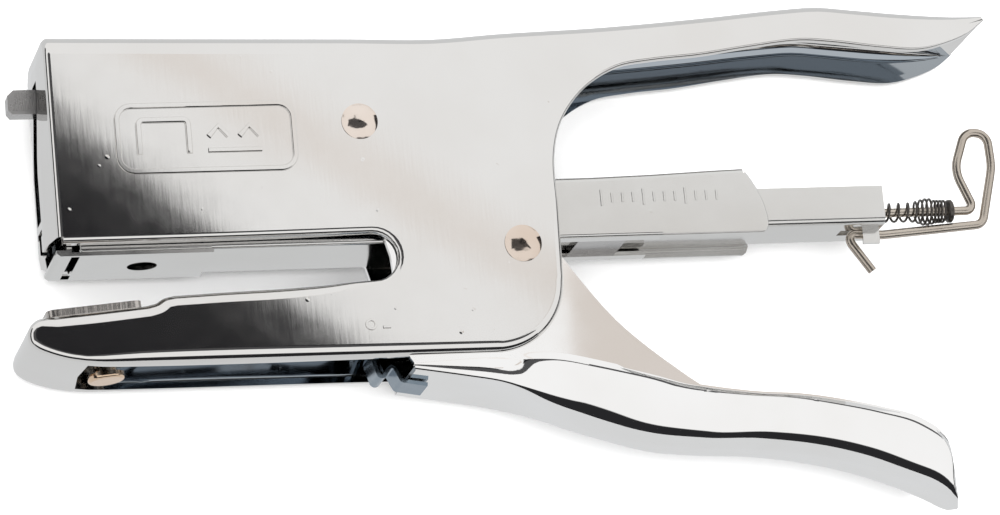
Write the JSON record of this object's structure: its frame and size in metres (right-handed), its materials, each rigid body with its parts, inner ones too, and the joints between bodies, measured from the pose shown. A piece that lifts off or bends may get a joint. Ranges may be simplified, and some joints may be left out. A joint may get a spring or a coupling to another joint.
{
  "type": "plier stapler",
  "caption": "Hand-held plier stapler lying on its side: folded chromed frame with jaw, squeeze handle, dipping magazine and wire pusher.",
  "frame": {"origin": "on the axis of the pivot rivet, at the flat end of its far head, which lies on the surface", "axes": "+X along the magazine from the nose to the handle ends, +Y from the anvil to the spine, +Z across the stapler, up from the surface it lies on"},
  "size_m": [0.1644, 0.0839, 0.022],
  "materials": {
    "frame_chrome": "bright chrome on folded sheet steel, fine vertical grain",
    "handle_chrome": "bright chrome on pressed sheet steel",
    "magazine_plate": "plated sheet steel, slightly softer shine",
    "inner_steel": "plain zinc plated sheet, inside",
    "rivet_nickel": "polished nickel with a copper tint",
    "anvil_steel": "sheared edge, fine file marks",
    "anvil_copper": "coppered steel rivet",
    "blued_spring": "blued spring steel",
    "wire_nickel": "drawn wire, dull nickel",
    "spring_wire": "dark drawn spring wire"
  },
  "bodies": {
    "frame": {"main_frame": "frame_chrome", "anvil_plate": "anvil_steel", "anvil_rivet": "anvil_copper", "pivot_rivet": "rivet_nickel", "magazine_rivet": "rivet_nickel"},
    "handle": {"squeeze_handle": "handle_chrome", "drive_lever": "inner_steel", "lever_pin": "inner_steel", "pivot_bush_near": "inner_steel", "pivot_bush_far": "inner_steel", "return_spring": "blued_spring"},
    "magazine": {"magazine_channel": "magazine_plate", "core_rail": "magazine_plate", "rail_foot_1": "inner_steel", "rail_foot_2": "inner_steel", "nose_plate": "magazine_plate"},
    "driver": {"driver_blade": "inner_steel"},
    "pusher": {"wire_handle": "wire_nickel", "spring_seat": "spring_wire", "pusher_spring": "spring_wire"},
    "follower": {"follower_block": "inner_steel"}
  },
  "joints": [
    {"name": "handle_squeeze", "type": "hinge", "parent": "frame", "child": "handle", "pos_m": [0, 0, 0], "axis": [0, 0, 1], "range_deg": [0, 19], "stiffness_Nm_per_rad": 1.2, "springref_deg": -8.59},
    {"name": "magazine_dip", "type": "hinge", "parent": "frame", "child": "magazine", "pos_m": [0.0249, -0.021, 0], "axis": [0, 0, 1], "range_deg": [0, 5.6]},
    {"name": "driver_stroke", "type": "slide", "parent": "magazine", "child": "driver", "axis": [0, -1, 0], "range_m": [0, 0.0089]},
    {"name": "pusher_pull", "type": "slide", "parent": "magazine", "child": "pusher", "axis": [1, 0, 0], "range_m": [0, 0.12]},
    {"name": "follower_slide", "type": "slide", "parent": "pusher", "child": "follower", "axis": [1, 0, 0], "range_m": [0, 0.05], "stiffness_N_per_m": 40, "springref_m": -0.01, "deforming": ["pusher_spring"]}
  ],
  "couplings": [
    {"joint": "magazine_dip", "follows": "handle_squeeze", "ratio": 0.2947},
    {"joint": "driver_stroke", "follows": "handle_squeeze", "m_per_rad": 0.02684}
  ]
}
